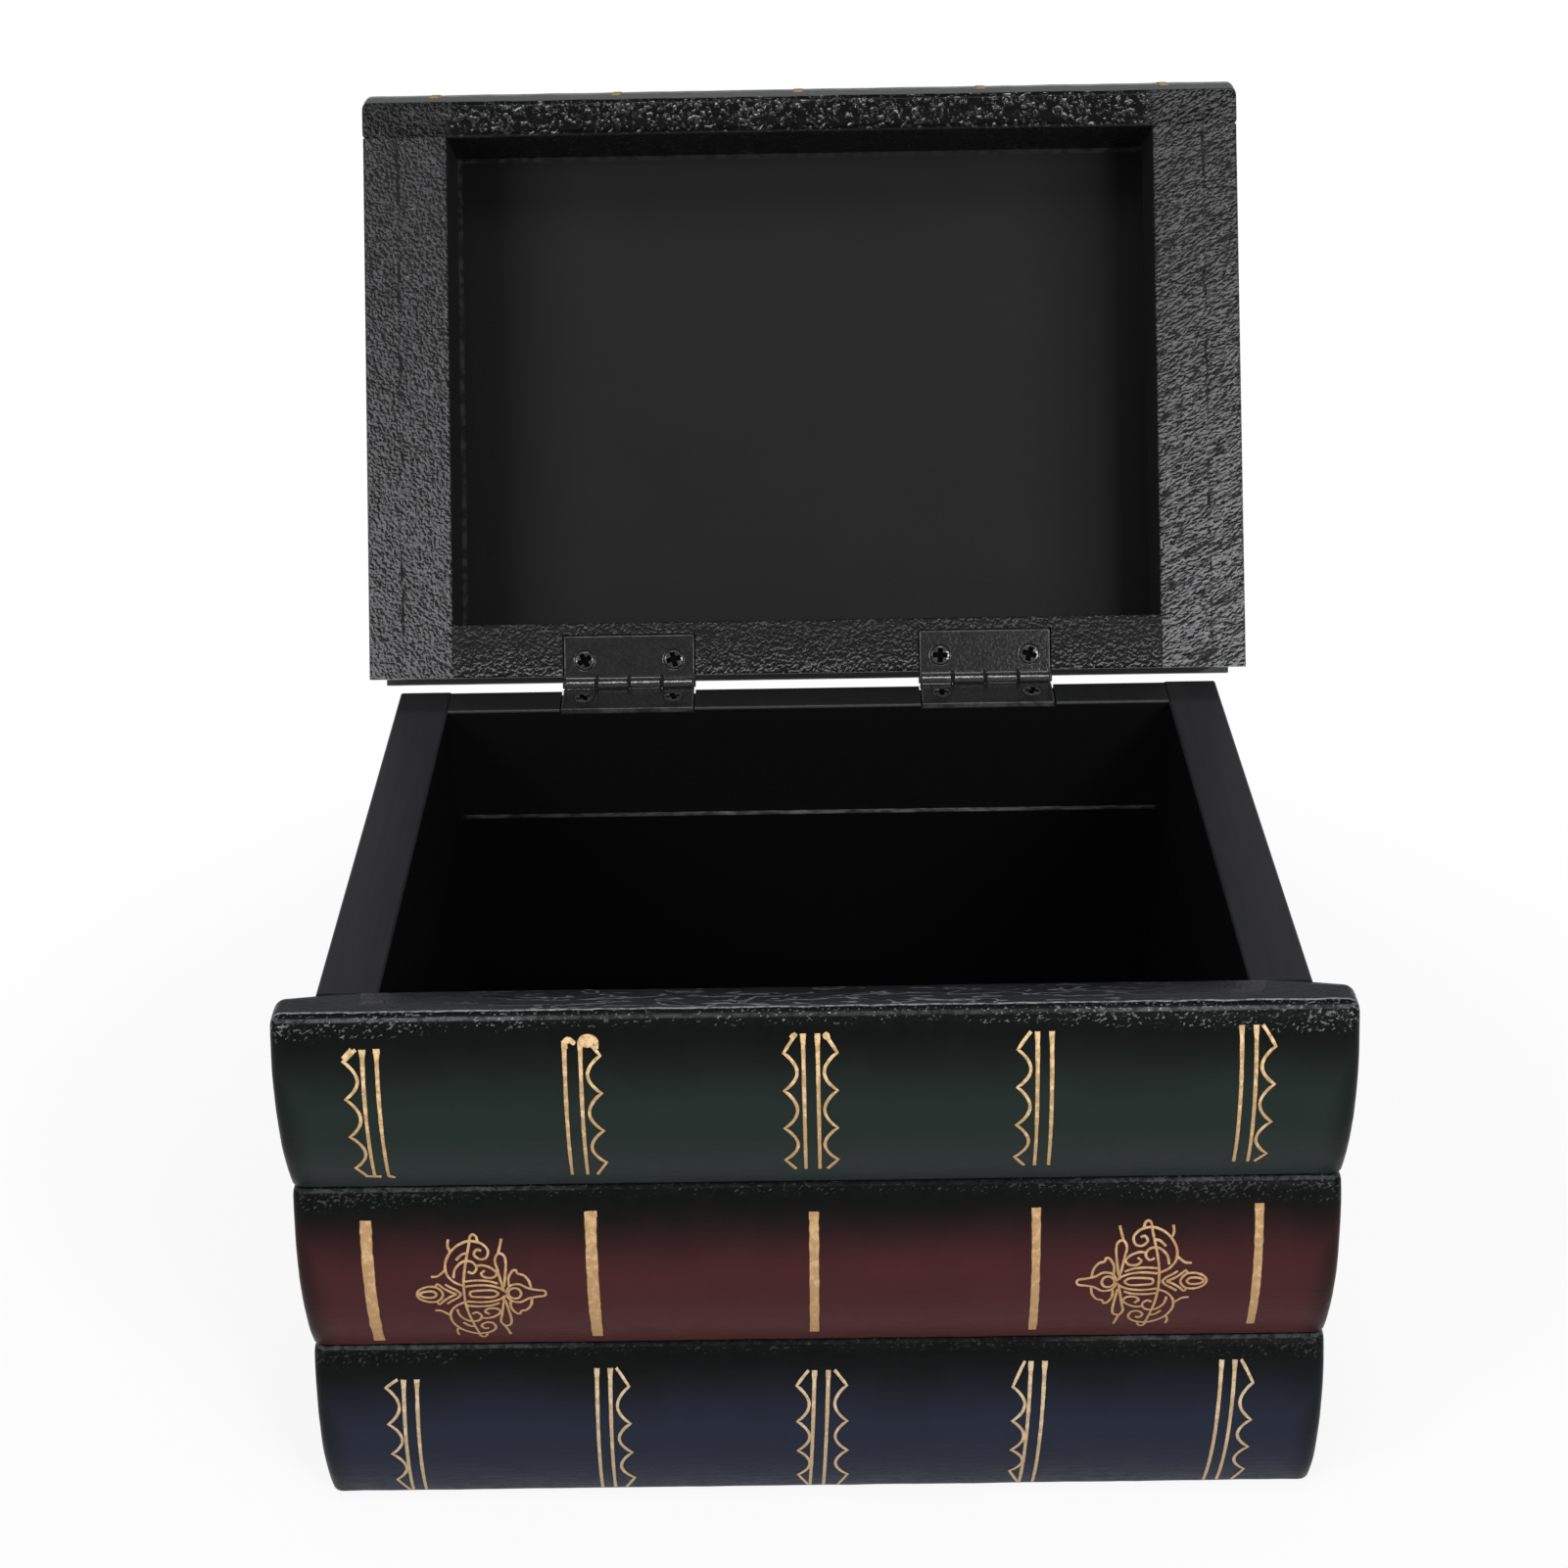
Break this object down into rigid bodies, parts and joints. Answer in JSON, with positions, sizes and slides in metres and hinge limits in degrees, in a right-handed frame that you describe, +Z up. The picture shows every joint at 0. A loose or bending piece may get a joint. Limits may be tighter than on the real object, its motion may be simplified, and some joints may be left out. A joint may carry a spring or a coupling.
{
  "type": "book box",
  "caption": "Lidded wooden box made to look like a stack of old books, with rounded spines in front, a hinged top book and a lined well.",
  "frame": {"origin": "middle of the flat base, halfway between the back face and the back of the spines", "axes": "+X to the right along the spines, -Y out of the spines towards the viewer, +Z up; the lid stands open at rest"},
  "size_m": [0.205, 0.2337, 0.2391],
  "materials": {
    "green_paint": "dark green paint on wood, rubbed to black along the edges",
    "maroon_paint": "dark maroon paint on wood, rubbed to black along the edges",
    "navy_paint": "dark navy paint on wood, rubbed to black along the edges",
    "page_paint": "scored wood painted as aged page edges, satin black on the rim",
    "gloss_black_paint": "glossy black paint with a coarse brushed texture",
    "satin_black_paint": "fine satin black paint",
    "lining_board": "matt black lining",
    "painted_hinge": "steel, painted over in gloss black",
    "painted_screw": "steel, painted over in gloss black"
  },
  "bodies": {
    "box": {"spine_green": "green_paint", "spine_maroon": "maroon_paint", "spine_navy": "navy_paint", "left_side_board": "page_paint", "right_side_board": "page_paint", "back_board": "page_paint", "floor_board": "satin_black_paint", "base_cover": "navy_paint", "green_lower_cover_left": "green_paint", "green_lower_cover_right": "green_paint", "maroon_upper_cover_left": "maroon_paint", "maroon_upper_cover_right": "maroon_paint", "maroon_lower_cover_left": "maroon_paint", "maroon_lower_cover_right": "maroon_paint", "navy_upper_cover_left": "navy_paint", "navy_upper_cover_right": "navy_paint", "lining_floor": "lining_board", "lining_back": "lining_board", "lining_front": "lining_board", "lining_left": "lining_board", "lining_right": "lining_board", "body_leaf_left": "painted_hinge", "body_leaf_right": "painted_hinge", "hinge_pin_left": "painted_hinge", "hinge_pin_right": "painted_hinge", "body_screws": "painted_screw"},
    "lid": {"lid_spine": "green_paint", "lid_left_stile": "gloss_black_paint", "lid_right_stile": "gloss_black_paint", "lid_rear_rail": "gloss_black_paint", "lid_inner_panel": "satin_black_paint", "lid_top_cover": "green_paint", "lid_lower_cover_left": "gloss_black_paint", "lid_lower_cover_right": "gloss_black_paint", "lid_leaf_left": "painted_hinge", "lid_leaf_right": "painted_hinge", "lid_screws": "painted_screw"}
  },
  "joints": [
    {"name": "lid_hinge", "type": "hinge", "parent": "box", "child": "lid", "pos_m": [0, 0.0649, 0.12025], "axis": [-1, 0, 0], "range_deg": [-120, 60]}
  ]
}
